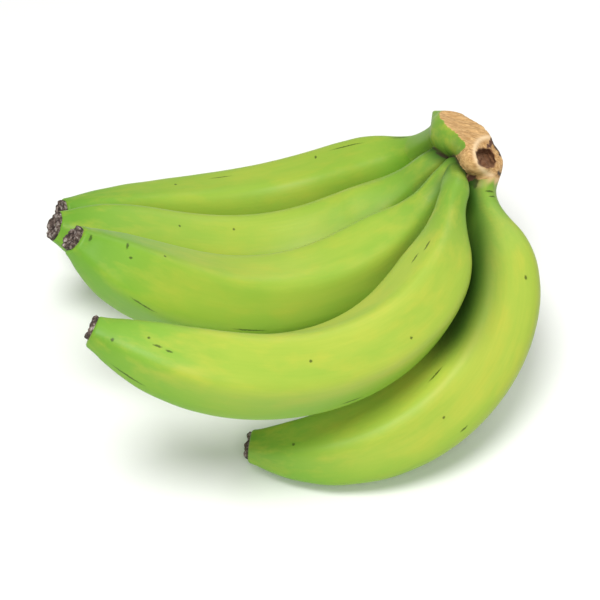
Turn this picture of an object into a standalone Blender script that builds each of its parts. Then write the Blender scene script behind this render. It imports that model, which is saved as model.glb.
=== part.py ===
# A hand of five green bananas, grown together at one cut crown.
# Metres, +Z up. The hand lies on its side: the back finger and the front finger
# touch the table, the two between are stacked above them, and the crown is high
# at +X. The origin is the middle of the footprint's box, on the table.
import math

import bmesh
import bpy
import numpy as np
from mathutils import Matrix, Vector

NAME = "banana_hand"
MM = 0.001

# Fingers, from the back of the hand to the front. Lengths in mm, angles in degrees.
#   root      where the stalk of the finger leaves the crown
#   heading   compass angle and climb of the stalk as it leaves the crown
#   roll      which way round the stalk the finger curls
#   neck      extra bend inside the stalk, belly: bend of the rest of the finger
#   early     above 1, the belly's bend sits nearer the stalk than the tip
#   length    along the middle line, radius: mean radius of the belly
#   taper     share of the length that narrows towards the tip
#   drift     how far the finger leaves its own plane of curl
#   ridge     angle of one ridge from the hollow side, wring: its turn along the finger
FINGERS = [
    dict(root=(67, 76, 73), heading=(127, -49), roll=-82, neck=10, belly=89, early=1.95,
         length=220, radius=17.75, taper=0.42, drift=17, ridge=12, wring=10),
    dict(root=(70, 61, 76), heading=(189, -35), roll=-6, neck=-27, belly=92, early=1.95,
         length=212, radius=18.75, taper=0.24, drift=3, ridge=20, wring=20),
    dict(root=(73, 48, 81), heading=(-139, -33), roll=22, neck=-5, belly=93, early=1.3,
         length=213, radius=18.25, taper=0.28, drift=6, ridge=20, wring=35),
    dict(root=(74, 35, 88), heading=(-114, -14), roll=64, neck=-25, belly=110, early=1.4,
         length=229, radius=17.5, taper=0.30, drift=0, ridge=13, wring=25),
    dict(root=(84, 50, 79), heading=(-101, -28), roll=97, neck=-40, belly=129, early=1.3,
         length=213, radius=19.75, taper=0.42, drift=-10, ridge=54, wring=-50),
]
AROUND = 20             # points round a finger, four to each of its five faces
ALONG = 34              # sections along a finger
ROOT_SUNK = 4.0         # mm that a stalk runs on into the crown
REMNANT = 3.5           # mm of dried flower end at the tip, inside the length

# Crown: the pad that the stalks grow from, balls strung from its back end to the front.
#   middle and radius in mm
PAD = [((66.3, 79.9, 77.9), 6.5), ((70.6, 71.5, 81.5), 9.0), ((76.0, 62.0, 86.0), 11.0),
       ((80.5, 52.0, 88.0), 10.5), ((79.8, 41.5, 89.0), 7.5), ((83.9, 49.7, 83.0), 8.5)]
# Three strokes of the knife: a point of the cut in mm and the way that it faces
KNIFE_UP = ((75.4, 56.8, 91.8), (0.28, 0.25, 0.93))
KNIFE_SIDE = ((86.0, 46.3, 87.0), (0.66, 0.05, 0.75))
KNIFE_END = ((61.9, 78.0, 78.8), (-1.0, 0.15, 0.0))
PIT_AT = (86.6, 46.0, 88.0)         # mm, the pit left where the stem's core was
PIT_SIZE = (4.4, 4.4, 4.6)          # mm, its half sizes

SINK = 0.6              # mm that the two lowest bellies are pressed flat on the table


def smooth(x):
    x = np.clip(x, 0.0, 1.0)
    return x * x * (3.0 - 2.0 * x)


def turn(vec, axis, angle):
    # a vector turned about an axis by each angle of an array
    angle = np.asarray(angle)[:, None]
    return (vec * np.cos(angle) + np.cross(axis, vec) * np.sin(angle)
            + axis * (axis @ vec) * (1.0 - np.cos(angle)))


def ease(x, knots, values):
    # smooth curve through knots, level at each one
    x = np.asarray(x, float)
    i = np.clip(np.searchsorted(knots, x) - 1, 0, len(knots) - 2)
    k, v = np.array(knots), np.array(values)
    s = np.clip((x - k[i]) / (k[i + 1] - k[i]), 0.0, 1.0)
    return v[i] + (v[i + 1] - v[i]) * (0.35 * smooth(s) + 0.65 * s)


def girth(u, taper):
    # radius along a finger as a share of its belly: slim stalk, quick shoulder, blunt tip
    knots = [0.0, 0.05, 0.10, 0.15, 0.20, 0.25, 0.32, 0.42]
    share = [0.40, 0.36, 0.38, 0.54, 0.77, 0.92, 0.99, 1.0]
    knots += [1.0 - taper + taper * k for k in (0.0, 0.15, 0.35, 0.6, 0.8, 0.92, 1.0)]
    share += [1.0, 0.99, 0.945, 0.82, 0.63, 0.47, 0.34]
    return ease(u, knots, share)


def finger_line(f, u):
    # middle line of a finger and the two directions across it, at shares u of its length
    az, el, roll, neck, belly, drift = (
        math.radians(a) for a in (*f["heading"], f["roll"], f["neck"], f["belly"], f["drift"]))
    t0 = np.array([math.cos(el) * math.cos(az), math.cos(el) * math.sin(az), math.sin(el)])
    side = np.cross(t0, (0.0, 0.0, 1.0))
    side /= np.linalg.norm(side)
    inward = math.cos(roll) * np.cross(side, t0) + math.sin(roll) * side
    flat = np.cross(t0, inward)

    def frame(s):
        bend = neck * smooth(s / 0.2)
        bend = bend + belly * (1 - (1 - np.clip((s - 0.1) / 0.9, 0, 1)) ** f["early"])
        lean = (drift * smooth((s - 0.1) / 0.9))[:, None]
        t = turn(t0, flat, bend)
        return (t * np.cos(lean) + flat * np.sin(lean), turn(inward, flat, bend),
                flat * np.cos(lean) - t * np.sin(lean))

    fine = np.linspace(0.0, 1.0, 401)
    t = frame(fine)[0]
    step = f["length"] / 400.0
    run = np.vstack([np.zeros(3), np.cumsum((t[1:] + t[:-1]) / 2 * step, axis=0)])
    mid = np.array([np.interp(u, fine, run[:, a]) for a in range(3)]).T + np.array(f["root"])
    return mid, *frame(np.asarray(u, float))


def loft(name, rings, collection):
    # closed skin over a row of rings, with a middle point at each end
    bm = bmesh.new()
    rows = [[bm.verts.new(Vector(p) * MM) for p in ring] for ring in rings]
    count = len(rows[0])
    for a, b in zip(rows, rows[1:]):
        for i in range(count):
            j = (i + 1) % count
            bm.faces.new((a[i], a[j], b[j], b[i]))
    for row in (rows[0], rows[-1]):
        hub = bm.verts.new(sum((v.co for v in row), Vector()) / count)
        for i in range(count):
            bm.faces.new((row[i], row[(i + 1) % count], hub))
    bmesh.ops.recalc_face_normals(bm, faces=bm.faces)
    mesh = bpy.data.meshes.new(name)
    bm.to_mesh(mesh)
    bm.free()
    obj = bpy.data.objects.new(name, mesh)
    collection.objects.link(obj)
    return obj


def five_sided(angle, sharp):
    # radius round a soft pentagon with a ridge at angle 0; sharp 0 is a circle
    power = 5.0
    faces = [max(0.0, math.cos(angle - math.radians(36 + 72 * k))) ** power for k in range(5)]
    return 1.0 + sharp * (sum(faces) ** (-1.0 / power) / 1.035 - 1.0)


def make_finger(f, name, collection):
    # sections lie closer together at the stalk's shoulder and at the tip
    s = np.linspace(0.0, 1.0, ALONG)
    end = 1.0 - REMNANT / f["length"]
    u = end * (s - 0.085 * np.sin(2 * np.pi * s) * (1 - 0.3 * s))
    u = np.concatenate([u, [end + 0.001, 1.0 - 0.004, 1.0]])
    size = girth(np.minimum(u, end), f["taper"]) * f["radius"]
    size[-3:] *= (0.86, 0.84, 0.55)
    mid, along, inward, flat = finger_line(f, u)
    mid[0] -= along[0] * ROOT_SUNK
    sharp = 0.35 + 0.65 * smooth((u - 0.12) / 0.1) - 0.6 * smooth((u - 0.86) / 0.12)
    rings = []
    for i, share in enumerate(u):
        ring = []
        for k in range(AROUND):
            angle = 2 * math.pi * k / AROUND
            r = size[i] * five_sided(angle, sharp[i])
            a = angle + math.radians(f["ridge"] + f["wring"] * (share - 0.5))
            ring.append(mid[i] + r * (inward[i] * math.cos(a) + flat[i] * math.sin(a)))
        rings.append(ring)
    return loft(name, rings, collection)


def make_ball(middle, radius, name, collection):
    bm = bmesh.new()
    bmesh.ops.create_uvsphere(bm, u_segments=20, v_segments=12, radius=radius * MM,
                              matrix=Matrix.Translation(Vector(middle) * MM))
    mesh = bpy.data.meshes.new(name)
    bm.to_mesh(mesh)
    bm.free()
    obj = bpy.data.objects.new(name, mesh)
    collection.objects.link(obj)
    return obj


def boolean(obj, operation, other):
    mod = obj.modifiers.new(operation.title(), "BOOLEAN")
    mod.operation = operation
    if isinstance(other, bpy.types.Collection):
        mod.operand_type = "COLLECTION"
        mod.collection = other
    else:
        mod.object = other
    return mod


def apply_all(obj):
    # replaces the mesh by what its modifiers make of it
    graph = bpy.context.evaluated_depsgraph_get()
    mesh = bpy.data.meshes.new_from_object(obj.evaluated_get(graph))
    obj.modifiers.clear()
    obj.data = mesh


def hide_cutter(obj, collection):
    for old in list(obj.users_collection):
        old.objects.unlink(obj)
    collection.objects.link(obj)
    obj.hide_render = True
    obj.display_type = "WIRE"


def facing(normal):
    # rotation that turns +Z to the normal
    return Vector((0, 0, 1)).rotation_difference(Vector(normal)).to_matrix().to_4x4()


for old in list(bpy.data.objects):
    bpy.data.objects.remove(old)
parts = bpy.data.collections.new(NAME)
cutters = bpy.data.collections.new("cutters")
stock = bpy.data.collections.new("fingers")
for coll in (parts, cutters, stock):
    bpy.context.scene.collection.children.link(coll)

def make_knife(name, point, normal):
    # a block whose flat side lies in the cut, on the waste's side of it
    bpy.ops.mesh.primitive_cube_add(size=60 * MM)
    knife = bpy.context.object
    knife.name = name
    knife.matrix_world = (Matrix.Translation(Vector(point) * MM) @ facing(normal)
                          @ Matrix.Translation((0, 0, 30 * MM)))
    return knife


def fuse(obj):
    # joins the stock to the piece and clears the stock away
    boolean(obj, "UNION", stock)
    apply_all(obj)
    for old in list(stock.objects):
        bpy.data.objects.remove(old)


# The crown's pad, cut off at its back end, with the five fingers fused to it
hand = make_ball(*PAD[0], NAME, parts)
for number, (middle, radius) in enumerate(PAD[1:], 1):
    make_ball(middle, radius, "crown_ball_%d" % number, stock)
fuse(hand)
end_knife = make_knife("knife_end", *KNIFE_END)
hide_cutter(end_knife, cutters)
boolean(hand, "DIFFERENCE", end_knife)
apply_all(hand)
for number, finger in enumerate(FINGERS, 1):
    make_finger(finger, "finger_%d" % number, stock)
fuse(hand)
bpy.data.collections.remove(stock)

# The knife's two long strokes, the pit between them, and the flats on the table
tools = [make_knife("knife_up", *KNIFE_UP), make_knife("knife_side", *KNIFE_SIDE)]

bpy.ops.mesh.primitive_uv_sphere_add(segments=16, ring_count=8, radius=1.0)
pit = bpy.context.object
pit.name = "core_pit"
pit.matrix_world = (Matrix.Translation(Vector(PIT_AT) * MM)
                    @ Matrix.Diagonal([s * MM for s in PIT_SIZE] + [1.0]))
tools.append(pit)

bpy.ops.mesh.primitive_cube_add(size=400 * MM, location=(0, 0, (SINK - 200) * MM))
table = bpy.context.object
table.name = "table_cut"
tools.append(table)
for tool in tools:
    hide_cutter(tool, cutters)
    boolean(hand, "DIFFERENCE", tool)
apply_all(hand)

# The origin goes to the middle of the box's underside
points = np.array([v.co for v in hand.data.vertices])
low, high = points.min(axis=0), points.max(axis=0)
centre = Vector(((low[0] + high[0]) / 2, (low[1] + high[1]) / 2, low[2]))
hand.data.transform(Matrix.Translation(-centre))
for tool in tools + [end_knife]:
    tool.location -= centre
hand.data.shade_smooth()
hand.data.set_sharp_from_angle(angle=math.radians(50))

skin = bpy.data.materials.new("green_banana_skin")
skin.use_nodes = True
shader = skin.node_tree.nodes["Principled BSDF"]
shader.inputs["Base Color"].default_value = (0.30, 0.48, 0.06, 1.0)
shader.inputs["Roughness"].default_value = 0.45
shader.inputs["Metallic"].default_value = 0.0
hand.data.materials.clear()
hand.data.materials.append(skin)
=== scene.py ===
# A hand of five green bananas: fine skin, dried flower ends and the cut crown.
import math

import bpy
import numpy as np
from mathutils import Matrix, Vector, noise


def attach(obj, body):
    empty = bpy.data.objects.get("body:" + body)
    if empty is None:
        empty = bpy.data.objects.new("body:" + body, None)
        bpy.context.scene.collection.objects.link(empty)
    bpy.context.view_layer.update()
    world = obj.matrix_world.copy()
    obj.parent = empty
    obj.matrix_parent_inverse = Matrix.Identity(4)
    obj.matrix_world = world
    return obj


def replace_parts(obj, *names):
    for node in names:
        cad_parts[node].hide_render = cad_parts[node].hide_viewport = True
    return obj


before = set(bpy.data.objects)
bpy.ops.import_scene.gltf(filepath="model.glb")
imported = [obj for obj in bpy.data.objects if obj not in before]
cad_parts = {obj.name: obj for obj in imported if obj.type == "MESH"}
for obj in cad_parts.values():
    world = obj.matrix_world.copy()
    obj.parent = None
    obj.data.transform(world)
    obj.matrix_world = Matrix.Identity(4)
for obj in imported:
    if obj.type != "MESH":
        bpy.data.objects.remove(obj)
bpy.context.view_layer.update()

MM = 0.001
CENTRE = (-5.272, 10.195, 0.6)       # mm, the drawing point that lies at the origin

# Fingers, from the back of the hand to the front, as the part's solid has them, in mm and degrees.
# root is where the stalk starts and heading its turn from +X and its rise; roll turns the plane
# that the finger bends in; neck and belly are the bends of stalk and belly, early above 1 puts
# more of the belly's bend near the stalk, and drift bends the finger sideways; taper is the share
# of the length that narrows to the tip; ridge turns the first of the five ridges and wring is
# their twist from end to end.
# Under the flap, late is how far on the stalk starts, narrow its width there as a share and lean
# how far its root leans. At the tip, bare is the stretch that the green skin leaves to the dried
# flower end, stub how far that end stands out of the skin, width its share of the tip's radius
# and aside how far it sits off the middle line. deep is the share of deeper green all over the
# skin, and dim how strongly painted shade darkens the skin beside the neighbours.
FINGERS = [
    dict(root=(67, 76, 73), heading=(127, -49), roll=-82, neck=10, belly=89, early=1.95,
         length=220, radius=17.75, taper=0.42, drift=17, ridge=12, wring=10,
         late=0.0, narrow=1.0, lean=(0, 0, 0),
         bare=2.2, stub=1.5, width=0.80, aside=(0, 0, 0), deep=0.38, dim=0.25),
    dict(root=(70, 61, 76), heading=(189, -35), roll=-6, neck=-27, belly=92, early=1.95,
         length=212, radius=18.75, taper=0.24, drift=3, ridge=20, wring=20,
         late=2.0, narrow=0.85, lean=(0, 0, 0),
         bare=2.6, stub=1.5, width=0.86, aside=(0, 0, 0), deep=0.30, dim=0.3),
    dict(root=(73, 48, 81), heading=(-139, -33), roll=22, neck=-5, belly=93, early=1.3,
         length=213, radius=18.25, taper=0.28, drift=6, ridge=20, wring=35,
         late=3.5, narrow=0.78, lean=(0, 0, 0),
         bare=2.2, stub=2.2, width=0.72, aside=(0, 0, 0), deep=0.27, dim=0.85),
    dict(root=(74, 35, 88), heading=(-114, -14), roll=64, neck=-25, belly=110, early=1.4,
         length=229, radius=17.5, taper=0.30, drift=0, ridge=13, wring=25,
         late=1.5, narrow=0.64, lean=(-2.8, 5.0, -5.0),
         bare=0.9, stub=1.0, width=0.70, aside=(0.0, 0.7, 1.0), deep=0.0, dim=0.6),
    dict(root=(84, 50, 79), heading=(-101, -28), roll=97, neck=-40, belly=129, early=1.3,
         length=213, radius=19.75, taper=0.42, drift=-10, ridge=54, wring=-50,
         late=0.0, narrow=1.0, lean=(0, 0, 0),
         bare=2.3, stub=1.8, width=0.74, aside=(0, 0, 0), deep=0.0, dim=1.0),
]
FRONT = len(FINGERS) - 1        # place of the front finger in the list
FIVE_POWER = 7.0                # the higher, the flatter a finger's five sides
FIVE_MEAN = 1.052               # mean radius of that five-sided ring round a circle of one
SKIN_AROUND = 140               # points round a finger
SKIN_ALONG = 380                # sections along it
SKIN_START = 17.0               # mm of stalk at the root that belong to the crown's piece
SINK = 0.6                      # mm that the two lowest bellies are pressed flat on the table
PEEL_STEP = 300.0               # mm of the peel's pattern from one finger's start to the next's
END_AROUND, END_ROWS = 56, 26   # points round a flower end, and rings of them
END_HIDDEN = 1.5                # mm of a flower end inside the skin

# Crown: a pad of balls strung from its back end to the front, middle and radius in mm
PAD = [((66.3, 79.9, 77.9), 8.0), ((70.6, 71.5, 81.5), 9.3), ((76.0, 62.0, 86.0), 11.0),
       ((80.5, 52.0, 88.0), 10.5), ((79.8, 41.5, 89.0), 7.5), ((83.9, 49.7, 83.0), 8.5)]
# where the pad runs down onto the front finger's stalk and beside the fourth's
COLLARS = [((83.6, 45.2, 78.6), 7.4), ((77.6, 43.8, 78.4), 5.6)]
KNIFE_UP = ((75.4, 56.8, 91.8), (0.28, 0.25, 0.93))         # first stroke: a point, its facing
KNIFE_SIDE = ((86.0, 46.3, 87.2), (0.64, -0.02, 0.77))      # second stroke, past the pit
KNIFE_END = ((61.9, 78.0, 78.8), (-1.0, 0.15, 0.0))         # the flat left end of the pad
KNIFE_BACK = ((66.0, 83.0, 83.0), (0.1, 0.707, 0.707))      # and its flat back
PIT = ((84.3, 65.6, 65.6), 4.5)         # core pit: a point of its middle line, half width
PIT_DEPTH = 3.0                         # mm that it goes down from the knife's face
PIT_TURN = (0.96, 0.28)                 # cosine and sine of the turn of its four sides
TOWARDS = (0.0, -0.707, 0.707)          # the way that the flap and the pit's rim face
FLAP = ((64.4, 71.8, 71.8), 10.4)       # green flap: a point of its middle line, radius in mm
FLAP_END = 66.3                         # the flap's green goes over the knife's face left of this
RIM = ((87.8, 66.6, 66.6), 9.2)         # raised rim round the pit, as for the flap
RIM_WIDE = 1.1                          # mm from the rim's top down to a third of its height
FLAP_BALL = ((70.2, 65.3, 84.1), 9.3)   # the flap's bulge over the stalks: middle, radius
# the torn face's ways along its fibres, across them and out of it, and how stretched it is
FIBRE_WAYS = np.array([[0.95, 0.2, 0.25], [-0.05, 0.8, -0.6], [-0.3, 0.55, 0.78]])
FIBRE_STRETCH = np.array([0.35, 1.0, 1.0])
# Lines on the crown's front, through face-on places: mm across, mm up
CRACK = [(63.4, 96.6), (67.4, 94.2), (70.8, 93.9), (73.6, 90.2)]
# brown stains: line, half width, unevenness and soft edge in mm, number of the waves
STAINS = [(((77.0, 83.4), (79.2, 81.6)), 2.4, 0.8, 0.9, 41),
          (((86.4, 98.4), (88.6, 101.6)), 1.3, 0.6, 0.8, 43)]
# charred edge right of the pit, and where it runs out: line, width in mm
CHARRED = [(((88.2, 102.4), (92.2, 95.4)), 0.6), (((90.2, 86.4), (91.4, 85.8)), 0.7)]
NECK_PART = 34.0                # mm of each stalk in the crown's piece, its end under the skin
NECK_ROOM = 13.0                # mm of room round the stalks' middle lines
CROWN_BOX = ((57.0, 22.0, 55.0), (97.0, 93.0, 99.0))        # mm, the pad with room round it
CROWN_CELL = 0.55               # mm between the points of the crown's skin
CROWN_BATCH, SKIN_BATCH = 60000, 4000       # points worked out at a time

# Small marks on the peel: finger, mm along it, degrees round from its first ridge,
# half length along and half width across in mm
MARKS = [
    (1, 60, 52, 8.0, 0.35), (1, 30, 66, 5.0, 0.4), (1, 79, 46, 0.6, 1.0), (1, 160, 38, 0.6, 0.6),
    (1, 134, 45, 5.0, 0.3), (2, 153, 333, 0.5, 0.5), (2, 123, 336, 0.6, 0.6),
    (3, 128, 223, 6.0, 0.3), (3, 208, 271, 0.5, 1.3), (3, 193, 286, 0.5, 1.4), (3, 190, 268, 0.6, 0.5),
    (3, 175, 293, 0.6, 0.5), (3, 176, 213, 5.0, 0.35), (4, 50, 309, 3.0, 0.4), (4, 59, 318, 3.0, 0.35),
    (4, 220, 223, 0.6, 0.6), (4, 207, 254, 0.5, 0.5), (4, 203, 243, 1.6, 0.4), (4, 198, 240, 1.2, 0.4),
    (4, 140, 251, 0.6, 0.5), (4, 95, 233, 0.5, 0.5), (4, 209, 161, 6.0, 0.35), (4, 122, 163, 3.5, 0.5),
    (5, 62, 162, 0.8, 0.6), (5, 17, 155, 0.5, 1.9), (5, 20, 151, 0.4, 1.5), (5, 191, 232, 0.6, 0.5),
    (5, 128, 185, 0.5, 0.5), (5, 124, 154, 1.4, 0.35), (5, 119, 233, 4.0, 0.4),
]
MARK_RAG = 0.8          # mm that their edges wander
MARK_DEEP = 5.0         # mm that they reach above and below the peel, so that none is missed


# Colour helper: sRGB hex to the linear values that the shader reads
def hexcol(code):
    out = []
    for i in (1, 3, 5):
        c = int(code[i:i + 2], 16) / 255
        out.append(c / 12.92 if c <= 0.04045 else ((c + 0.055) / 1.055) ** 2.4)
    return (*out, 1.0)


def add(tree, kind, settings=None, stops=(), **links):
    # one node with its settings and colour stops, and its sockets set to values or linked,
    # each by its name or, as in i0, by its number
    node = tree.nodes.new("ShaderNode" + kind)
    for key, value in (settings or {}).items():
        setattr(node, key, value)
    if stops:
        elements = node.color_ramp.elements
        elements[0].position, elements[0].color = stops[0][0], hexcol(stops[0][1])
        elements[1].position, elements[1].color = stops[-1][0], hexcol(stops[-1][1])
        for place, code in stops[1:-1]:
            elements.new(place).color = hexcol(code)
    for key, value in links.items():
        numbered = key[0] == "i" and key[1:].isdigit()
        socket = node.inputs[int(key[1:]) if numbered else key.replace("_", " ")]
        if isinstance(value, bpy.types.NodeSocket):
            tree.links.new(value, socket)
        else:
            socket.default_value = value
    return node


def new_material(name):
    # a material with its node tree and its shader
    mat = bpy.data.materials.new(name)
    mat.use_nodes = True
    return mat, mat.node_tree, mat.node_tree.nodes["Principled BSDF"]


def smooth(x):
    # from 0 at 0 to 1 at 1, level at both ends
    x = np.clip(x, 0.0, 1.0)
    return x * x * (3.0 - 2.0 * x)


def turn(vec, axis, angle):
    # a direction turned about an axis by each of several angles
    angle = np.asarray(angle)[:, None]
    return (vec * np.cos(angle) + np.cross(axis, vec) * np.sin(angle)
            + axis * (axis @ vec) * (1.0 - np.cos(angle)))


def ease(x, knots, values):
    # values between knots, partly eased so that the corners at the knots are softer
    x = np.asarray(x, float)
    i = np.clip(np.searchsorted(knots, x) - 1, 0, len(knots) - 2)
    k, v = np.array(knots), np.array(values)
    s = np.clip((x - k[i]) / (k[i + 1] - k[i]), 0.0, 1.0)
    return v[i] + (v[i + 1] - v[i]) * (0.35 * smooth(s) + 0.65 * s)


def girth(u, taper):
    # radius along a finger as a share of its belly: slim stalk, quick shoulder, blunt tip
    knots = [0.0, 0.05, 0.10, 0.15, 0.20, 0.25, 0.32, 0.42]
    share = [0.40, 0.36, 0.38, 0.54, 0.77, 0.92, 0.99, 1.0]
    knots += [1.0 - taper + taper * k for k in (0.0, 0.15, 0.35, 0.6, 0.8, 0.92, 1.0)]
    share += [1.0, 0.99, 0.945, 0.82, 0.63, 0.47, 0.34]
    # the knots' corners are rounded by averaging over a short stretch
    spread = np.linspace(-0.022, 0.022, 9)
    return sum(ease(np.clip(u + d, 0, 1), knots, share) for d in spread) / len(spread)


def finger_line(f, u):
    # middle line of a finger and the two directions across it, at shares u of its length
    az, el, roll, neck, belly, drift = (
        math.radians(a) for a in (*f["heading"], f["roll"], f["neck"], f["belly"], f["drift"]))
    t0 = np.array([math.cos(el) * math.cos(az), math.cos(el) * math.sin(az), math.sin(el)])
    side = np.cross(t0, (0.0, 0.0, 1.0))
    side /= np.linalg.norm(side)
    inward = math.cos(roll) * np.cross(side, t0) + math.sin(roll) * side
    flat = np.cross(t0, inward)

    def frame_at(s):
        # the stalk bends over a fifth of the length, the belly from a tenth on
        bend = neck * smooth(s / 0.2)
        bend = bend + belly * (1 - (1 - np.clip((s - 0.1) / 0.9, 0, 1)) ** f["early"])
        lean = (drift * smooth((s - 0.1) / 0.9))[:, None]
        t = turn(t0, flat, bend)
        return (t * np.cos(lean) + flat * np.sin(lean), turn(inward, flat, bend),
                flat * np.cos(lean) - t * np.sin(lean))

    steps = 400
    fine = np.linspace(0.0, 1.0, steps + 1)
    t = frame_at(fine)[0]
    step = f["length"] / steps
    run = np.vstack([np.zeros(3), np.cumsum((t[1:] + t[:-1]) / 2 * step, axis=0)])
    mid = np.array([np.interp(u, fine, run[:, a]) for a in range(3)]).T + np.array(f["root"])
    return mid, *frame_at(np.asarray(u, float))


def five_sided(angle, sharp):
    # radius round a soft pentagon with a ridge at angle 0; sharp 0 is a circle
    sides = [angle - math.radians(36 + 72 * k) for k in range(5)]
    total = sum(np.maximum(0.0, np.cos(side)) ** FIVE_POWER for side in sides)
    return 1.0 + sharp * (total ** (-1.0 / FIVE_POWER) / FIVE_MEAN - 1.0)


def sharpness(u):
    # the five ridges show on the belly, less on the stalk and fade at the tip
    return 0.45 + 0.55 * smooth((u - 0.12) / 0.1) - 0.55 * smooth((u - 0.88) / 0.12)


def skin_end(f):
    # share of the length where the green skin stops
    return 1.0 - f["bare"] / f["length"]


def skin_radius(f, u, angle):
    # radius of the finished skin at a share u along and an angle from the first ridge
    base = girth(np.minimum(u / skin_end(f), 1.0), f["taper"]) * f["radius"]
    return base * five_sided(angle, sharpness(u))


def new_piece(name, verts, faces, material, values):
    # mesh object in the row frame, from drawing points in mm, with its own named values
    mesh = bpy.data.meshes.new(name)
    placed = (np.asarray(verts) - np.array(CENTRE)) * MM
    mesh.from_pydata(placed.tolist(), [], faces)
    for key, data in values.items():
        data = np.asarray(data, float)
        kind = "FLOAT_VECTOR" if data.ndim == 2 else "FLOAT"
        slot_data = mesh.attributes.new(key, kind, "POINT").data
        slot_data.foreach_set("vector" if data.ndim == 2 else "value", data.ravel())
    mesh.shade_smooth()
    obj = bpy.data.objects.new(name, mesh)
    bpy.context.scene.collection.objects.link(obj)
    mesh.materials.append(material)
    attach(obj, "root")
    return obj


def ring_faces(rows, around, start, end):
    # faces between rings of points, closed onto one point at the start and one at the end
    faces = []
    for a in range(rows - 1):
        here, after = a * around, (a + 1) * around
        for i in range(around):
            j = (i + 1) % around
            faces.append((here + i, here + j, after + j, after + i))
    last = (rows - 1) * around
    faces += [((i + 1) % around, i, start) for i in range(around)]
    faces += [(last + i, last + (i + 1) % around, end) for i in range(around)]
    return faces


def soft_min(a, b, k):
    # the smaller of two distances, blended over k mm where they are alike
    h = np.clip(0.5 + 0.5 * (b - a) / k, 0.0, 1.0)
    return b + (a - b) * h - k * h * (1.0 - h)


def soft_max(a, b, k):
    return -soft_min(-a, -b, k)


def stalk_field(f, points):
    # distance to a stalk's skin, with its share along and the turn round from the first ridge
    marks = np.linspace(0.0, NECK_PART, 52) / f["length"]
    mid, along, inward, flat = finger_line(f, marks)
    mid = mid + np.array(f["lean"]) * (1.0 - smooth(marks * f["length"] / 15.0))[:, None]
    near = np.argmax(points @ (2.0 * mid.T) - (mid ** 2).sum(1), axis=1)
    rel = points - mid[near]
    ahead = (rel * along[near]).sum(1)
    x, y = (rel * inward[near]).sum(1), (rel * flat[near]).sum(1)
    u = marks[near] + ahead / f["length"]
    angle = np.arctan2(y, x) - np.radians(f["ridge"] + f["wring"] * (u - 0.5))
    run = np.clip(u, 0.0, 1.0) * f["length"]
    radius = skin_radius(f, np.clip(u, 0.0, 1.0), angle)
    radius = radius * (f["narrow"] + (1.0 - f["narrow"]) * smooth(run / 14.0))
    # slightly proud near the crown, then sinking under the finger's own skin
    radius = radius + 0.10 - 0.45 * smooth((run - 20.0) / 11.0)
    before = np.maximum(0.0, f["late"] - u * f["length"])
    out = np.sqrt(x * x + y * y + before ** 2) - radius
    return np.maximum(out, (u * f["length"] - NECK_PART)), u, angle, radius


def pad_field(points):
    # distance to the pad: cones between its balls, the flap's bulge and the two collars
    out = np.full(len(points), 1e3)
    for (a, ra), (b, rb) in zip(PAD, PAD[1:]):
        a, b = np.array(a), np.array(b)
        s = np.clip(((points - a) @ (b - a)) / ((b - a) @ (b - a)), 0.0, 1.0)
        off = np.linalg.norm(points - a - s[:, None] * (b - a), axis=1)
        out = np.minimum(out, off - ra - s * (rb - ra))
    bulge = np.linalg.norm(points - np.array(FLAP_BALL[0]), axis=1) - FLAP_BALL[1]
    out = soft_min(out, bulge, 6.0)
    for place, radius in COLLARS:
        out = soft_min(out, np.linalg.norm(points - np.array(place), axis=1) - radius, 4.0)
    return out


def off_line(points, middle):
    # distance from a line through a point, along the way that the flap and the rim face
    rel, line = points - np.array(middle), np.array(TOWARDS)
    return np.linalg.norm(rel - (rel @ line)[:, None] * line, axis=1)


def face_on(points):
    # the crown as the flap faces: mm across, mm up, and mm towards the front
    x, y, z = points[:, 0], points[:, 1], points[:, 2]
    return x, (y + z) * 0.7071, (z - y) * 0.7071


def off_stroke(points, ends):
    # distance from a line drawn on the crown's front, between two face-on places
    across, up, front = face_on(points)
    (x0, y0), (x1, y1) = ends
    long = (x1 - x0) ** 2 + (y1 - y0) ** 2
    s = np.clip(((across - x0) * (x1 - x0) + (up - y0) * (y1 - y0)) / long, 0, 1)
    off = np.hypot(across - x0 - s * (x1 - x0), up - y0 - s * (y1 - y0))
    return np.where(front > 5.0, off, 99.0)


def waves(points, size, seed):
    # a few crossing sine waves, about size mm long: cheap, smooth unevenness near one unit high
    rng = np.random.default_rng(seed)
    out = 0.0
    for k in range(7):
        way = rng.normal(size=3)
        way /= np.linalg.norm(way)
        turns = points @ way * (2 * np.pi / (size * rng.uniform(0.7, 1.6)))
        out = out + np.sin(turns + rng.uniform(0, 6.3))
    return out / 3.0


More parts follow.
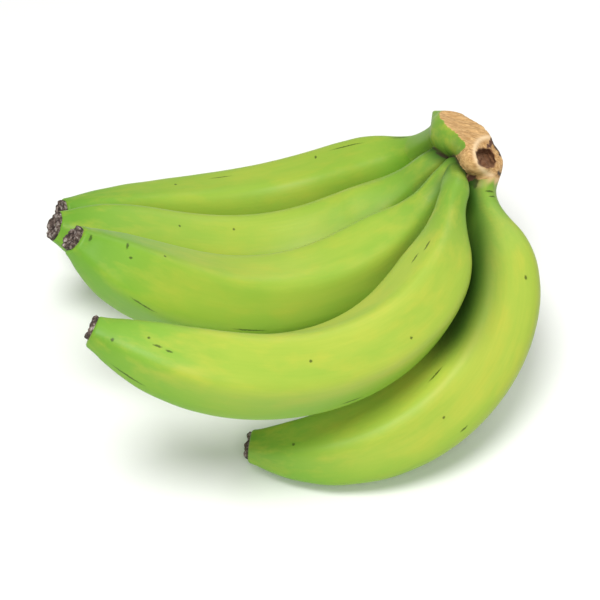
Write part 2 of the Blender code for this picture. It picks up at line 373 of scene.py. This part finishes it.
def crown_fields(points):
    # signed distance of the whole crown, and the parts that its colours need
    necks = [stalk_field(f, points) for f in FINGERS]
    stroke = [(points - np.array(p)) @ (np.array(n) / np.linalg.norm(n))
              for p, n in (KNIFE_UP, KNIFE_SIDE, KNIFE_END, KNIFE_BACK)]
    pad = pad_field(points) + 0.15 * waves(points, 9.0, 3)
    pad = soft_max(soft_max(pad, stroke[2], 1.2), stroke[3], 1.2)
    stalks = np.min([n[0] for n in necks], axis=0)
    # the pad runs softly into the front stalk and overhangs the others
    body = soft_min(pad, stalks, 1.6 + 3.4 * smooth((points[:, 0] - 79.0) / 4.0))
    # the knife's face is torn into shallow wavy fibres, a quarter of a millimetre high
    grain = points @ FIBRE_WAYS.T
    torn = waves(grain * FIBRE_STRETCH, 3.2, 5) * 0.22 + waves(points, 8.0, 8) * 0.25
    # the rim stands up all round the pit but on its right
    rim = np.exp(-((off_line(points, RIM[0]) - RIM[1]) / RIM_WIDE) ** 2)
    rim = rim * smooth((90.0 - points[:, 0]) / 4.0)
    # the flap's skin is smooth and stands a fifth of a millimetre proud of the torn face
    off_flap = off_line(points, FLAP[0]) - FLAP[1] + 0.5 * waves(points, 4.0, 31)
    bare = smooth(off_flap / 0.8)
    strokes = soft_max(stroke[0], stroke[1], 2.0)
    roof = strokes + torn * bare - 0.5 * rim - 0.2 * (1.0 - bare)
    whole = soft_max(body, roof, 0.7)
    # the pit is a squarish hole with ragged sides
    across, up = face_on(points)[:2]
    dx, dy = across - PIT[0][0], up - face_on(np.array([PIT[0]]))[1][0]
    cosine, sine = PIT_TURN
    dx, dy = cosine * dx + sine * dy, cosine * dy - sine * dx
    square = (np.abs(dx) ** 3 + np.abs(dy) ** 3) ** (1 / 3) - PIT[1] + 0.45 * waves(points, 4.0, 11)
    pit = soft_max(square, -(strokes + PIT_DEPTH + 0.5 * waves(points, 3.0, 12)), 0.8)
    whole = soft_max(whole, -pit, 0.5)
    return whole, necks, pad, stalks, roof - body, pit, rim, off_flap


def crown_distance(points):
    return crown_fields(points)[0]


def wrap_surface(distance, low, high, cell):
    # closed quad skin over the zero level of a distance, one point in each crossed cell
    axes = [np.arange(lo, hi + cell, cell) for lo, hi in zip(low, high)]
    grid = np.stack(np.meshgrid(*axes, indexing="ij"), axis=-1)
    shape = grid.shape[:3]
    flat_grid = grid.reshape(-1, 3)
    value = np.concatenate([distance(flat_grid[i:i + CROWN_BATCH])
                            for i in range(0, len(flat_grid), CROWN_BATCH)]).reshape(shape)
    cells = tuple(n - 1 for n in shape)
    total, count = np.zeros((*cells, 3)), np.zeros(cells)
    crossings = []
    for axis in range(3):
        lo = [slice(None)] * 3
        hi = [slice(None)] * 3
        lo[axis], hi[axis] = slice(0, -1), slice(1, None)
        a, b = value[tuple(lo)], value[tuple(hi)]
        cross = (a < 0) != (b < 0)
        share = np.where(cross, a / np.where(cross, a - b, 1.0), 0.0)
        spot = grid[tuple(lo)].copy()
        spot[..., axis] += share * cell
        spot *= cross[..., None]
        others = [k for k in range(3) if k != axis]
        for da in (0, 1):
            for db in (0, 1):
                take = [slice(None)] * 3
                take[others[0]] = slice(da, da + cells[others[0]])
                take[others[1]] = slice(db, db + cells[others[1]])
                total += spot[tuple(take)]
                count += cross[tuple(take)]
        crossings.append((axis, others, cross, a < 0))
    used = count > 0
    index = np.full(cells, -1)
    index[used] = np.arange(used.sum())
    verts = total[used] / count[used][:, None]
    # one face round each crossed edge of the grid, turned to look outwards
    faces = []
    for axis, others, cross, inside in crossings:
        where = np.argwhere(cross)
        keep = np.all([(where[:, o] > 0) & (where[:, o] < shape[o] - 1) for o in others], axis=0)
        where = where[keep]
        into = inside[tuple(where.T)]
        corner = []
        for da, db in ((1, 1), (0, 1), (0, 0), (1, 0)):
            w = where.copy()
            w[:, others[0]] -= da
            w[:, others[1]] -= db
            corner.append(index[tuple(w.T)])
        quad = np.stack(corner, axis=1)
        flip = into if axis != 1 else ~into
        quad[~flip] = quad[~flip][:, ::-1]
        faces.append(quad)
    # two steps onto the true surface, down the slope measured over a twentieth of a millimetre
    nudge = 0.05
    for _ in range(2):
        here = distance(verts)
        slope = np.stack([(distance(verts + e) - here) / nudge for e in np.eye(3) * nudge], axis=1)
        size = np.maximum((slope ** 2).sum(1), 0.25)
        verts = verts - np.clip(here / size, -cell, cell)[:, None] * slope * 0.9
    return verts, np.concatenate(faces)


def crevice_shade_amount(verts, f, share):
    # painted shade between fingers: 1 where another finger's skin lies within a few millimetres, fading to
    # 0 farther off;
    # on the front finger's stalk half it reaches over the whole side that faces the fourth, which the
    # fourth shades
    is_front = f is FINGERS[FRONT]
    stalk_half = smooth((0.62 - share) / 0.19) if is_front else np.zeros(len(verts))
    reach = (5.0 if is_front else 14.0) + 19.0 * stalk_half
    gap = np.full(len(verts), 99.0)
    facing = np.ones(len(verts))
    u = np.linspace(0.04, 1.0, 90)
    for other in FINGERS:
        mid, along = finger_line(other, u)[:2]
        size = girth(u, other["taper"]) * other["radius"]
        for i in range(0, len(verts), SKIN_BATCH):
            part = verts[i:i + SKIN_BATCH]
            near = (np.linalg.norm(part[:, None] - mid[None], axis=2) - size).argmin(axis=1)
            rel = part - mid[near]
            # measured square to the line, but all round beyond its ends
            ahead = np.clip((rel * along[near]).sum(1), -1.5, 1.5)
            rel = rel - ahead[:, None] * along[near]
            away = np.linalg.norm(rel, axis=1)
            if other is not f:
                gap[i:i + SKIN_BATCH] = np.minimum(gap[i:i + SKIN_BATCH], away - size[near])
            elif is_front:
                left = rel[:, 0] / np.maximum(away, 1e-6)
                facing[i:i + SKIN_BATCH] = smooth(0.35 - 1.1 * left)
    facing = np.maximum(facing, 1.0 - stalk_half)
    fade = 1.5 - 0.8 * stalk_half
    most = 0.3 + 0.7 * stalk_half if is_front else 1.0
    return smooth(1.0 - (gap - 1.0) / reach) ** fade * facing * f["dim"] * most


def make_crown(peel_mat, cut_mat):
    # one skin over pad, flap, pit and the roots of the stalks, green but for the cut
    necks = [finger_line(f, np.array([0.0, NECK_PART / f["length"]]))[0] for f in FINGERS]
    low = np.minimum(CROWN_BOX[0], np.min(necks, axis=(0, 1)) - NECK_ROOM)
    high = np.maximum(CROWN_BOX[1], np.max(necks, axis=(0, 1)) + NECK_ROOM)
    verts, faces = wrap_surface(crown_distance, low, high, CROWN_CELL)
    necks, pad, stalks, cut, pit, rim, off_flap = crown_fields(verts)[1:]
    nearest = np.argmin([n[0] for n in necks], axis=0)
    pick = np.arange(len(verts))
    u, angle, size = (np.array([n[k] for n in necks])[nearest, pick] for k in (1, 2, 3))
    run = u * np.array([f["length"] for f in FINGERS])[nearest]
    peel = np.stack([run + PEEL_STEP * (nearest + 1), size * np.cos(angle), size * np.sin(angle)], axis=1)
    # over the pad itself the peel's pattern simply follows the place, in a stretch of its own
    peel = np.where((pad < stalks)[:, None], verts * 1.3 + np.array([1900.0, 0.0, 0.0]), peel)
    # tan wears off along the front finger's stalk
    dry = (nearest == FRONT) * smooth((15.5 - run + 1.6 * waves(verts, 5.0, 21)) / 8.0)
    dry = dry * smooth((verts[:, 0] - 77.0) / 5.0)
    # painted shade: a dark line in the groove under the pad's lip, above the other stalks; the crack
    # strokes on the crown's front are added below
    under_lip = nearest < FRONT
    crack_and_lip_shade = np.exp(-((pad - stalks) / 1.1) ** 2) * smooth((66.0 - verts[:, 1]) / 6.0) * under_lip
    crack_and_lip_shade = crack_and_lip_shade * smooth((verts[:, 2] - 69.0) / 5.0)
    for ends in zip(CRACK, CRACK[1:]):
        off = off_stroke(verts, ends) + 0.2 * waves(verts, 3.0, 71)
        crack_and_lip_shade = np.maximum(crack_and_lip_shade, smooth(1.6 - off / 0.45))
    stain, char = np.zeros(len(verts)), np.zeros(len(verts))
    for ends, half, uneven, edge, seed in STAINS:
        reach = half + uneven * waves(verts, 2.5, seed)
        stain = np.maximum(stain, smooth((reach - off_stroke(verts, ends)) / edge))
    ragged = 0.35 * waves(verts, 2.5, 51)
    for ends, wide in CHARRED:
        char = np.maximum(char, smooth(1.6 - (off_stroke(verts, ends) + ragged) / wide))
    # painted shade: the stalks darkened just under the lip, and where they lie close together
    shaded = (stalks < pad) * under_lip * smooth(1.0 - pad / 9.0)
    shaded = shaded * smooth((70.0 - verts[:, 1]) / 4.0)
    crevice_shade = np.maximum(shaded, np.choose(nearest, [crevice_shade_amount(verts, f, u) for f in FINGERS]))
    values = {"peel": peel, "share": np.clip(u, 0.0, 1.0), "dry": dry, "crack_and_lip_shade": crack_and_lip_shade, "stain": stain,
              "pale": rim, "pit": smooth((0.9 - pit) / 1.2), "char": char, "crevice_shade": crevice_shade}
    piece = new_piece("crown", verts, faces.tolist(), peel_mat, values)
    piece.data.materials.append(cut_mat)
    # bare tissue: the knife's face but for the flap's end, and the pad's front beside the flap
    flap_end = (verts[:, 0] + 0.5 * waves(verts, 3.0, 61) <= FLAP_END) & (off_flap <= 0.0)
    pad_front = (pad < stalks - 0.3) & (verts[:, 1] < 66.0) & (verts[:, 0] > 70.0)
    bare = ((cut > -0.3) & ~flap_end) | (pad_front & (off_flap > 0.0))
    on_cut = bare[faces].mean(axis=1) > 0.5
    piece.data.polygons.foreach_set("material_index", on_cut.astype(np.int32))
    return piece


def make_skin(f, number, material):
    # the green skin of one finger, from under the crown's piece to its dried flower end
    start, end = SKIN_START / f["length"], skin_end(f)
    # sections a third closer together at both ends
    s = np.linspace(0.0, 1.0, SKIN_ALONG)
    u = start + (end - start) * (s - 0.05 * np.sin(2 * np.pi * s))
    mid, along, inward, flat = finger_line(f, u)
    angle = np.linspace(0, 2 * np.pi, SKIN_AROUND, endpoint=False)
    r = skin_radius(f, u[:, None], angle[None, :])
    # the last millimetres round over to meet the dried flower end
    over = np.clip(1.0 - (end - u) * f["length"] / 1.2, 0, 1)
    r = r * (1.0 - 0.12 * (1.0 - np.sqrt(1.0 - 0.96 * over ** 2)))[:, None]
    a = angle[None, :] + np.radians(f["ridge"] + f["wring"] * (u - 0.5))[:, None]
    points = (mid[:, None, :] + r[..., None] * (inward[:, None, :] * np.cos(a)[..., None]
                                                + flat[:, None, :] * np.sin(a)[..., None]))
    verts = np.vstack([points.reshape(-1, 3), mid[0], mid[-1]])
    verts[:, 2] = np.maximum(verts[:, 2], SINK)
    outward = verts - np.vstack([np.repeat(mid, SKIN_AROUND, axis=0), mid[0], mid[-1]])
    down = -outward[:, 2] / np.maximum(np.linalg.norm(outward, axis=1), 1e-6)
    # painted shade: deeper green on the sides that face down, plus the finger's own deeper green
    low_side_shade_and_green = np.clip(smooth((down + 0.5) / 1.1) + f["deep"], 0, 1)
    shares = np.append(np.repeat(u, SKIN_AROUND), (start, end))
    radii = np.append(r.ravel(), (0.0, 0.0))
    turns = np.append(np.tile(angle, SKIN_ALONG), (0.0, 0.0))
    peel = np.stack([shares * f["length"] + PEEL_STEP * number,
                     radii * np.cos(turns), radii * np.sin(turns)], axis=1)
    hub = SKIN_ALONG * SKIN_AROUND
    faces = ring_faces(SKIN_ALONG, SKIN_AROUND, hub, hub + 1)
    # painted shade on the skin where another finger lies close
    values = {"peel": peel, "share": shares, "low_side_shade_and_green": low_side_shade_and_green, "crevice_shade": crevice_shade_amount(verts, f, shares)}
    return new_piece("finger_%d_skin" % number, verts, faces, material, values)


def make_flower_end(f, number, material):
    # a stub of dead flower parts: lumpy rim, sunken middle; narrower on the two front fingers
    width, tall = f["width"], f["stub"] + END_HIDDEN
    u = np.array([skin_end(f) - END_HIDDEN / f["length"], 1.0])
    mid, along, inward, flat = finger_line(f, u)
    base, axis, e1, e2 = mid[0] + np.array(f["aside"]), along[1], inward[1], flat[1]
    radius = float(girth(np.array([1.0]), f["taper"])[0] * f["radius"])
    verts = []
    for i in range(END_ROWS):
        s = i / (END_ROWS - 1)
        # profile: up the side, over a rounded rim, then down into the middle
        if s < 0.45:
            height = tall * s / 0.45
            size = width + 0.08 * math.sin(math.pi * s / 0.45)
        else:
            q = (s - 0.45) / 0.55
            height = tall + 0.4 * math.sin(math.pi * min(q * 2.2, 1)) - 1.6 * q
            size = width * (1 - q) + 0.02
        for k in range(END_AROUND):
            a = 2 * math.pi * k / END_AROUND
            p = Vector((math.cos(a) * 1.6, math.sin(a) * 1.6, height * 0.35 + number * 7.0))
            lump = noise.noise(p * 1.1) * 1.5 + noise.noise(p * 3.1) * 0.8
            fade = min(1.0, height / 2.0)
            r = radius * size * (1 + 0.09 * lump * fade)
            h = height + 0.6 * lump * fade
            verts.append(base + axis * h + r * (e1 * math.cos(a) + e2 * math.sin(a)))
    hub = len(verts)
    verts.append(base - axis * 0.5)
    verts.append(sum(verts[hub - END_AROUND:hub]) / END_AROUND)
    faces = ring_faces(END_ROWS, END_AROUND, hub, hub + 1)
    verts = np.array(verts)
    verts[:, 2] = np.maximum(verts[:, 2], SINK)
    new_piece("flower_end_%d" % number, verts, faces, material, {})


def peel_marks(t, peel):
    # strength of the small marks at each point of the peel, their edges ragged
    rag = add(t, "TexNoise", Vector=peel, Scale=1.1, Detail=2.0)
    ragged = add(t, "VectorMath", {"operation": "MULTIPLY_ADD"}, i0=rag.outputs["Color"],
                 i1=(MARK_RAG, MARK_RAG, MARK_RAG), i2=peel).outputs[0]
    # the wandering also shifts every mark by half of itself
    shift = MARK_RAG / 2
    total = None
    for number, run, turned, half_long, half_wide in MARKS:
        f, around = FINGERS[number - 1], math.radians(turned)
        r = float(skin_radius(f, np.array([run / f["length"]]), np.array([around]))[0])
        centre = (run + PEEL_STEP * number + shift, r * math.cos(around) + shift,
                  r * math.sin(around) + shift)
        local = add(t, "Mapping", {"vector_type": "TEXTURE"}, Vector=ragged, Location=centre,
                    Rotation=(around, 0.0, 0.0), Scale=(half_long, MARK_DEEP, half_wide))
        off = add(t, "VectorMath", {"operation": "LENGTH"}, i0=local.outputs[0])
        near = add(t, "MapRange", Value=off.outputs["Value"], From_Min=1.5, From_Max=0.7).outputs[0]
        if total is not None:
            near = add(t, "Math", {"operation": "MAXIMUM"}, i0=total, i1=near).outputs[0]
        total = near
    return total


# Green banana skin: smooth waxy peel, yellow-green on the belly, greener and duller towards
# the stalk and the tip, with fine lengthwise fibres and a soft satin shine. Its patterns run
# on the peel's own mm, so a scale is one over the pattern's size in mm.
def green_skin():
    mat, t, shader = new_material("waxy_green_banana_skin")
    peel = add(t, "Attribute", {"attribute_name": "peel"}).outputs["Vector"]
    share = add(t, "Attribute", {"attribute_name": "share"}).outputs["Fac"]

    # colour along the finger, from stalk to tip
    along = add(t, "ValToRGB", stops=[
        (0.0, "#739B36"), (0.10, "#7BA338"), (0.22, "#A5BC44"), (0.45, "#B3C24A"),
        (0.75, "#A6BC42"), (0.90, "#80AB36"), (1.0, "#5F942A")], Fac=share)

    # broad cloudy patches, 40 mm long and 12.5 mm wide
    cloud_map = add(t, "Mapping", Vector=peel, Scale=(1 / 40, 1 / 12.5, 1 / 12.5))
    cloud = add(t, "TexNoise", Vector=cloud_map.outputs[0], Scale=1.0, Detail=3.0, Roughness=0.5)
    cloud_amount = add(t, "MapRange", Value=cloud.outputs["Fac"], From_Min=0.35, From_Max=0.7,
                       To_Min=0.0, To_Max=0.5)
    clouded = add(t, "Mix", {"data_type": "RGBA"}, i0=cloud_amount.outputs[0],
                  i6=along.outputs["Color"], i7=hexcol("#86B23C"))
    # yellow-olive patches, 20 mm long and nearly 8 mm wide
    olive_map = add(t, "Mapping", Vector=peel, Location=(12.0, 9.0, 5.0), Scale=(1 / 20, 0.13, 0.13))
    olive = add(t, "TexNoise", Vector=olive_map.outputs[0], Scale=1.0, Detail=4.0, Roughness=0.6)
    olive_amount = add(t, "MapRange", Value=olive.outputs["Fac"], From_Min=0.46, From_Max=0.72,
                       To_Min=0.0, To_Max=0.45)
    patched = add(t, "Mix", {"data_type": "RGBA"}, i0=olive_amount.outputs[0],
                  i6=clouded.outputs[2], i7=hexcol("#C4C046"))

    # lengthwise fibres, 1.25 mm apart and 33 mm long
    fibre_map = add(t, "Mapping", Vector=peel, Scale=(0.03, 1 / 1.25, 1 / 1.25))
    fibre = add(t, "TexNoise", Vector=fibre_map.outputs[0], Scale=1.0, Detail=2.0, Roughness=0.6)
    fibre_amount = add(t, "MapRange", Value=fibre.outputs["Fac"], From_Min=0.4, From_Max=0.75,
                       To_Min=0.0, To_Max=0.12)
    fibred = add(t, "Mix", {"data_type": "RGBA"}, i0=fibre_amount.outputs[0],
                 i6=patched.outputs[2], i7=hexcol("#7BA832"))

    # dried tan skin by the cut, and the brown stains; painted shade as deeper green on the sides that
    # look down and dark green where two fingers lie close together; the brown crack and painted groove
    # shade under the crown's lip
    colour = fibred.outputs[2]
    for name, code, most in (("dry", "#E2BC84", 1.0), ("stain", "#5A3826", 1.0), ("low_side_shade_and_green", "#6FA82A", 0.7),
                             ("crevice_shade", "#1F4A05", 0.95), ("crack_and_lip_shade", "#33241A", 0.9)):
        amount = add(t, "Attribute", {"attribute_name": name}).outputs["Fac"]
        held = add(t, "MapRange", Value=amount, To_Max=most).outputs[0]
        colour = add(t, "Mix", {"data_type": "RGBA"}, i0=held, i6=colour, i7=hexcol(code)).outputs[2]
    held = add(t, "MapRange", Value=peel_marks(t, peel), To_Max=0.75).outputs[0]
    colour = add(t, "Mix", {"data_type": "RGBA"}, i0=held, i6=colour, i7=hexcol("#2C380C")).outputs[2]
    t.links.new(colour, shader.inputs["Base Color"])
    # waxy bloom, rubbed dull where the fingers press together
    close = add(t, "Attribute", {"attribute_name": "crevice_shade"}).outputs["Fac"]
    dull = add(t, "MapRange", Value=close, To_Min=0.46, To_Max=0.8)
    t.links.new(dull.outputs[0], shader.inputs["Roughness"])
    shader.inputs["Specular IOR Level"].default_value = 0.24
    bump = add(t, "Bump", Strength=0.12, Distance=0.4 * MM, Height=fibre.outputs["Fac"])
    t.links.new(bump.outputs[0], shader.inputs["Normal"])
    return mat


# Cut crown: fibrous tissue that the knife tore, dried to matt tan, with the brown core pit.
# Its patterns run on the object's metres.
def cut_tissue():
    mat, t, shader = new_material("knife_cut_dried_crown_tissue")
    place = add(t, "TexCoord").outputs["Object"]
    # fibres 1.1 mm apart and 6 mm long, running across the crown
    turned = add(t, "Mapping", Vector=place, Rotation=(0.3, 0.5, 0.2), Scale=(170.0, 900.0, 900.0))
    fibre = add(t, "TexNoise", Vector=turned.outputs[0], Scale=1.0, Detail=3.0, Roughness=0.6,
                Distortion=0.6)
    tan = add(t, "ValToRGB", stops=[(0.32, "#A97A42"), (0.66, "#E2B97E")], Fac=fibre.outputs["Fac"])
    # paler on the rim, brown in the pit, then the charred edge and the brown stains
    colour = tan.outputs["Color"]
    for name, code in (("pale", "#F2D2A4"), ("pit", "#5A2F1C"), ("char", "#4A3A30"), ("stain", "#5A3826")):
        amount = add(t, "Attribute", {"attribute_name": name}).outputs["Fac"]
        colour = add(t, "Mix", {"data_type": "RGBA"}, i0=amount, i6=colour, i7=hexcol(code)).outputs[2]
    t.links.new(colour, shader.inputs["Base Color"])
    shader.inputs["Roughness"].default_value = 0.8
    bump = add(t, "Bump", Strength=0.5, Distance=0.4 * MM, Height=fibre.outputs["Fac"])
    t.links.new(bump.outputs[0], shader.inputs["Normal"])
    return mat


# Dried flower end: brittle grey-brown scar tissue, matte, its grain from 2.3 mm down
def flower_scar():
    mat, t, shader = new_material("dried_flower_scar")
    place = add(t, "TexCoord").outputs["Object"]
    grain = add(t, "TexNoise", Vector=place, Scale=430.0, Detail=5.0, Roughness=0.7)
    colour = add(t, "ValToRGB", stops=[(0.42, "#2A1F1A"), (0.53, "#5C4B42"), (0.66, "#B4AAA2")],
                 Fac=grain.outputs["Fac"])
    t.links.new(colour.outputs["Color"], shader.inputs["Base Color"])
    shader.inputs["Roughness"].default_value = 0.85
    bump = add(t, "Bump", Strength=0.6, Distance=0.6 * MM, Height=grain.outputs["Fac"])
    t.links.new(bump.outputs[0], shader.inputs["Normal"])
    return mat


skin = green_skin()
scar = flower_scar()
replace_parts(make_crown(skin, cut_tissue()), "banana_hand")
for number, finger in enumerate(FINGERS, 1):
    piece = make_skin(finger, number, skin)
    make_flower_end(finger, number, scar)
    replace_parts(piece, "banana_hand")

# Floor: plain white board, matte
board, _, board_shader = new_material("plain_white_board")
board_shader.inputs["Base Color"].default_value = hexcol("#FAFAF8")
board_shader.inputs["Roughness"].default_value = 0.9
bpy.ops.mesh.primitive_plane_add(size=6.0)
floor = bpy.context.object
floor.name = "floor"
floor.data.materials.append(board)

# Studio light: bright even surround, a big soft light from above on the left, a weaker one
# from the front that opens the shadows under the fingers, and a faint one from behind
world = bpy.data.worlds.new("studio")
bpy.context.scene.world = world
world.use_nodes = True
world.node_tree.nodes["Background"].inputs["Color"].default_value = (1.0, 1.0, 1.0, 1.0)
world.node_tree.nodes["Background"].inputs["Strength"].default_value = 0.32


def soft_light(name, place, aim, size, power):
    # round soft light: places and width in metres, power in watts
    lamp = bpy.data.lights.new(name, "AREA")
    lamp.shape = "DISK"
    lamp.size = size
    lamp.energy = power
    obj = bpy.data.objects.new(name, lamp)
    obj.location = place
    obj.rotation_euler = (Vector(aim) - Vector(place)).to_track_quat("-Z", "Y").to_euler()
    bpy.context.scene.collection.objects.link(obj)


soft_light("key_light", (-0.14, -0.36, 1.12), (0, 0, 0), 0.5, 10.0)
soft_light("front_fill", (0.05, -0.85, 0.80), (0, 0, 0.04), 0.5, 3.2)
soft_light("back_light", (0.5, 0.9, 0.9), (0, 0, 0.05), 0.8, 4.0)

# Camera: above and in front, 45 degrees down, as the photo was taken
cam_data = bpy.data.cameras.new("camera")
cam_data.lens = 100.1
cam_data.sensor_width = 36.0
cam_data.clip_start = 0.05
cam_data.clip_end = 20.0
camera = bpy.data.objects.new("camera", cam_data)
bpy.context.scene.collection.objects.link(camera)
aim = Vector((0.0, 0.0, 40.0)) * MM - Vector(CENTRE) * MM
away = Vector((0.0, -math.cos(math.radians(45)), math.sin(math.radians(45))))
camera.location = aim + away * 0.760
camera.rotation_euler = (-away).to_track_quat("-Z", "Y").to_euler()
bpy.context.scene.camera = camera
bpy.context.scene.view_settings.view_transform = "Standard"
